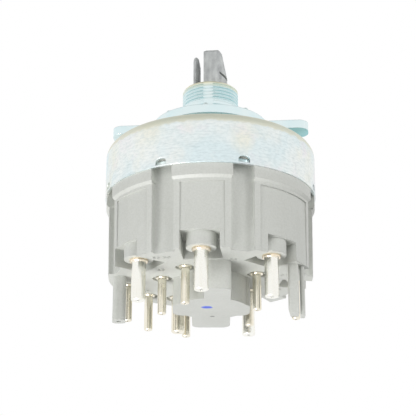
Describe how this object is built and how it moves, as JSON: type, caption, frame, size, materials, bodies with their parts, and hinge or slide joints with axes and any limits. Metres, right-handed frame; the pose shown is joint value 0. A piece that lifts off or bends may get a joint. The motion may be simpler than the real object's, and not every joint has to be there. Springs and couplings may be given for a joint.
{
  "type": "rotary headlight switch",
  "caption": "rotary headlight switch with a pull-out shaft, threaded neck, eared mounting plate, steel cup and moulded pin base",
  "frame": {"origin": "where the shaft's axis meets the top face of the mounting plate, which seats behind the panel", "axes": "+Z along the shaft out through the panel to the knob, -Y the front of the base in the picture, +X along one ear of the mounting plate"},
  "size_m": [0.062, 0.062, 0.0862],
  "materials": {
    "zinc_plated_sheet": "bright zinc plated drawn sheet",
    "blue_passivated_zinc": "blue passivated zinc plate",
    "grey_moulding": "light grey moulded thermoset with short glass fibre",
    "tinned_brass": "tinned turned brass",
    "contact_brass": "stamped brass",
    "black_moulding": "black moulded acetal",
    "ball_steel": "polished bearing steel",
    "zinc_die_casting": "zinc die casting, as cast",
    "spring_steel": "spring steel"
  },
  "bodies": {
    "switch_case": {"cap": "zinc_plated_sheet", "mounting_plate": "blue_passivated_zinc", "neck_bush": "blue_passivated_zinc", "base": "grey_moulding", "detent_ring": "spring_steel", "main_pin_1": "tinned_brass", "main_pin_2": "tinned_brass", "main_pin_3": "tinned_brass", "main_pin_4": "tinned_brass", "main_pin_5": "tinned_brass", "signal_pin_1": "tinned_brass", "signal_pin_2": "tinned_brass", "signal_pin_3": "tinned_brass", "signal_pin_4": "tinned_brass", "signal_pin_5": "tinned_brass", "signal_pin_6": "tinned_brass", "signal_pin_7": "tinned_brass", "signal_pin_8": "tinned_brass", "contact_strip_1": "contact_brass", "contact_strip_2": "contact_brass", "contact_strip_3": "contact_brass", "contact_strip_4": "contact_brass", "contact_strip_5": "contact_brass", "pull_contact_front": "contact_brass", "pull_contact_back": "contact_brass"},
    "contact_rotor": {"rotor": "black_moulding", "contact_bridge_1": "contact_brass", "contact_bridge_2": "contact_brass", "contact_bridge_3": "contact_brass", "bridge_spring_1": "spring_steel", "bridge_spring_2": "spring_steel", "bridge_spring_3": "spring_steel", "detent_ball_1": "ball_steel", "detent_ball_2": "ball_steel", "detent_spring_1": "spring_steel", "detent_spring_2": "spring_steel", "pull_detent_ball": "ball_steel", "pull_detent_spring": "spring_steel", "detent_band": "spring_steel"},
    "pull_shaft": {"shaft": "zinc_die_casting", "pull_contact_disc": "contact_brass", "retaining_ring": "spring_steel"}
  },
  "joints": [
    {"name": "rotor_turn", "type": "hinge", "parent": "switch_case", "child": "contact_rotor", "pos_m": [0, 0, 0], "axis": [0, 0, 1], "range_deg": [-90, 0]},
    {"name": "shaft_pull", "type": "slide", "parent": "contact_rotor", "child": "pull_shaft", "axis": [0, 0, 1], "range_m": [0, 0.008]}
  ]
}
